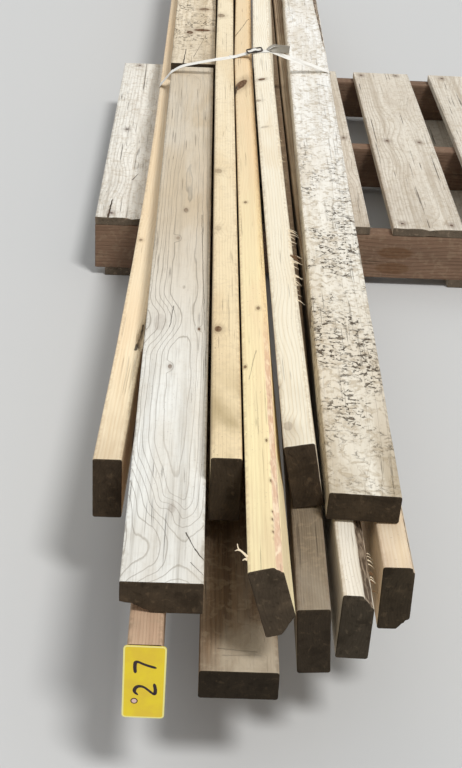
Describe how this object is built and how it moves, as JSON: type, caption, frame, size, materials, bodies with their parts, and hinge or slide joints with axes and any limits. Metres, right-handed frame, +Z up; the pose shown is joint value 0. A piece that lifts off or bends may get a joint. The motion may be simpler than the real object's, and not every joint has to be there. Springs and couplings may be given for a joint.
{
  "type": "bundle of pine studs",
  "caption": "Strapped bundle of used two-by-four pine studs of mixed length lying across a wooden stringer pallet.",
  "frame": {"origin": "on the floor, under the middle of the whole load's outline", "axes": "+X along the pallet's stringers, to the right as the tagged ends are faced; +Y along the studs, away from the tagged ends; +Z up"},
  "size_m": [1.219, 3.826, 0.3199],
  "materials": {
    "pine_yellow": "sawn pine, yellow tan, lightly weathered",
    "pine_pink": "sawn pine, pinkish tan",
    "pine_brown": "sawn pine, stained dark brown",
    "pine_grey_brown": "sawn pine, weathered grey brown",
    "pine_cream": "sawn pine, pale cream, lightly weathered",
    "pine_silver": "sawn pine, weathered silver grey with raised grain",
    "pine_rough": "rough sawn pine, knotty and mould marked",
    "pine_white_grey": "sawn pine, weathered whitish grey and rough",
    "strap_white": "white woven polyester strap",
    "buckle_wire": "dark phosphated steel wire",
    "tag_yellow": "yellow plastic tag",
    "pallet_stringer_wood": "rough sawn pallet wood, pinkish brown",
    "pallet_board_wood": "pallet wood, weathered whitish grey"
  },
  "bodies": {
    "root": {"lower_stud_left": "pine_yellow", "lower_stud_tagged": "pine_pink", "lower_stud_hidden": "pine_brown", "lower_stud_flat": "pine_brown", "lower_stud_flat_hidden": "pine_brown", "lower_stud_inner_right": "pine_grey_brown", "lower_stud_waney": "pine_cream", "lower_stud_right": "pine_yellow", "upper_board_left_near": "pine_silver", "upper_board_left_far": "pine_rough", "upper_stud_inner_left": "pine_cream", "upper_stud_twisted": "pine_yellow", "upper_stud_inner_right": "pine_cream", "upper_board_right": "pine_white_grey", "strap": "strap_white", "strap_buckle": "buckle_wire", "tag": "tag_yellow", "pallet_stringer_near": "pallet_stringer_wood", "pallet_stringer_middle": "pallet_stringer_wood", "pallet_stringer_far": "pallet_stringer_wood", "pallet_deck_board_1": "pallet_board_wood", "pallet_deck_board_2": "pallet_board_wood", "pallet_deck_board_3": "pallet_board_wood", "pallet_deck_board_4": "pallet_board_wood", "pallet_deck_board_5": "pallet_board_wood", "pallet_deck_board_6": "pallet_board_wood", "pallet_deck_board_7": "pallet_board_wood", "pallet_bottom_board_1": "pallet_board_wood", "pallet_bottom_board_2": "pallet_board_wood", "pallet_bottom_board_3": "pallet_board_wood", "pallet_bottom_board_4": "pallet_board_wood"}
  },
  "joints": []
}
